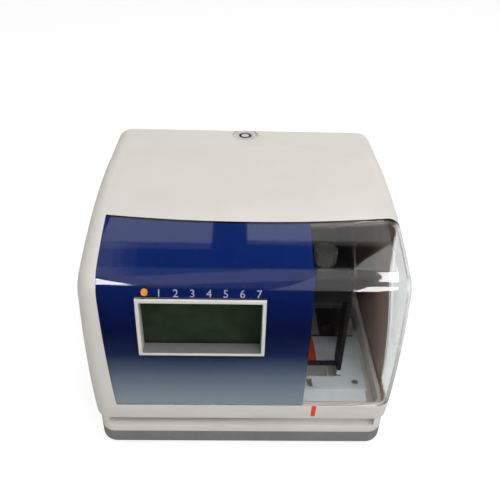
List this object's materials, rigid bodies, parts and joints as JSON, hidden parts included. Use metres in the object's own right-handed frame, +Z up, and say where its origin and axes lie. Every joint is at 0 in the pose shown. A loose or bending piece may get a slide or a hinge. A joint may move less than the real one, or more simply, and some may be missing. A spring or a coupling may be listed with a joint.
{
  "type": "date and time stamp machine",
  "caption": "Desk time stamp with a lift-off crowned cover, clear front window with blue panel, display, paper throat and moving print carriage.",
  "frame": {"origin": "centre of the footprint, on the surface that the feet stand on", "axes": "+X to the viewer's right, +Y to the rear, +Z up; the paper throat faces -Y"},
  "size_m": [0.198, 0.1747, 0.1654],
  "materials": {
    "case_plastic": "fine satin moulding",
    "grey_plastic": "fine textured moulding",
    "foot_rubber": "matt",
    "platen_rubber": "matt",
    "belt_rubber": "matt",
    "zinc_plate": "zinc plated sheet",
    "steel": "ground",
    "aluminium": "machined",
    "bronze": "sintered",
    "black_plastic": "moulded",
    "white_plastic": "moulded",
    "component_dark": "moulded",
    "motor_can": "satin",
    "board_green": "solder mask",
    "cell_wrap": "shrink wrap",
    "lcd_glass": "gloss",
    "clear_window": "clear acrylic",
    "blue_print": "printed film",
    "amber": "translucent",
    "red_paint": "satin",
    "orange_paint": "satin",
    "ribbon_cloth": "inked",
    "lock_chrome": "polished"
  },
  "bodies": {
    "base_unit": {"rubber_feet": "foot_rubber", "base_shell": "grey_plastic", "base_screws": "steel", "base_tray": "case_plastic", "platen_pad": "platen_rubber", "guide_plate": "zinc_plate", "position_pointer": "orange_paint", "chassis_side_left": "zinc_plate", "chassis_side_right": "zinc_plate", "chassis_screws": "steel", "guide_shaft_front": "steel", "guide_shaft_rear": "steel", "rear_frame": "zinc_plate", "idler_pin": "steel", "drive_motor": "motor_can", "drive_belt": "belt_rubber", "cassette_shelf": "zinc_plate", "ribbon_cassette": "black_plastic", "ink_ribbon": "ribbon_cloth", "lcd_frame": "black_plastic", "lcd_glass": "lcd_glass", "control_board": "board_green", "display_panel": "black_plastic", "indicator_led": "amber", "button_switches": "black_plastic", "trigger_bracket": "zinc_plate", "trigger_pin": "steel", "trigger_switch": "black_plastic", "paper_stop": "black_plastic", "main_board": "board_green", "board_posts": "steel", "board_components": "component_dark", "backup_cells": "cell_wrap", "cell_holder": "black_plastic", "power_inlet": "black_plastic", "lock_striker": "zinc_plate"},
    "cover_unit": {"top_cover": "case_plastic", "front_window": "clear_window", "front_label": "blue_print", "display_bezel": "case_plastic", "indicator_lens": "amber", "position_mark": "red_paint", "lock_barrel": "lock_chrome", "lock_nut": "lock_chrome"},
    "lock_core": {"lock_plug": "lock_chrome", "lock_cam": "steel", "cam_screw": "steel"},
    "carriage": {"carriage_block": "black_plastic", "carriage_bushes": "bronze", "belt_clamp": "black_plastic", "print_head": "black_plastic", "head_heatsink": "aluminium"},
    "drive_wheel": {"drive_pulley": "aluminium", "motor_shaft": "steel"},
    "idler_wheel": {"idler_pulley": "aluminium"},
    "ribbon_wheel": {"ribbon_knob": "grey_plastic"},
    "trigger": {"paper_trigger": "black_plastic"},
    "select_key": {"select_button": "white_plastic"},
    "change_key": {"change_button": "white_plastic"},
    "set_key": {"set_button": "white_plastic"}
  },
  "joints": [
    {"name": "cover_lift", "type": "slide", "parent": "base_unit", "child": "cover_unit", "axis": [0, 0, 1], "range_m": [0, 0.13]},
    {"name": "lock_turn", "type": "hinge", "parent": "cover_unit", "child": "lock_core", "pos_m": [0, 0.0704, 0.165], "axis": [0, 0, -1], "range_deg": [0, 90]},
    {"name": "carriage_travel", "type": "slide", "parent": "base_unit", "child": "carriage", "axis": [1, 0, 0], "range_m": [0, 0.045]},
    {"name": "drive_turn", "type": "hinge", "parent": "base_unit", "child": "drive_wheel", "pos_m": [-0.0545, 0.0234, 0.074], "axis": [0, 1, 0], "range_deg": [-360, 360]},
    {"name": "idler_turn", "type": "hinge", "parent": "base_unit", "child": "idler_wheel", "pos_m": [0.0615, 0.0234, 0.074], "axis": [0, 1, 0], "range_deg": [-360, 360]},
    {"name": "ribbon_turn", "type": "hinge", "parent": "base_unit", "child": "ribbon_wheel", "pos_m": [0.0565, -0.00901, 0.10605], "axis": [0, 0, 1], "continuous": true},
    {"name": "trigger_swing", "type": "hinge", "parent": "base_unit", "child": "trigger", "pos_m": [0.02, -0.02071, 0.0346], "axis": [1, 0, 0], "range_deg": [0, 25], "stiffness_Nm_per_rad": 0.002},
    {"name": "select_key_press", "type": "slide", "parent": "base_unit", "child": "select_key", "axis": [0, 1, 0], "range_m": [0, 0.0008], "stiffness_N_per_m": 100},
    {"name": "change_key_press", "type": "slide", "parent": "base_unit", "child": "change_key", "axis": [0, 1, 0], "range_m": [0, 0.0008], "stiffness_N_per_m": 100},
    {"name": "set_key_press", "type": "slide", "parent": "base_unit", "child": "set_key", "axis": [0, 1, 0], "range_m": [0, 0.0008], "stiffness_N_per_m": 100}
  ],
  "couplings": [
    {"joint": "drive_turn", "follows": "carriage_travel", "rad_per_m": -111.11},
    {"joint": "idler_turn", "follows": "carriage_travel", "rad_per_m": -111.11}
  ]
}
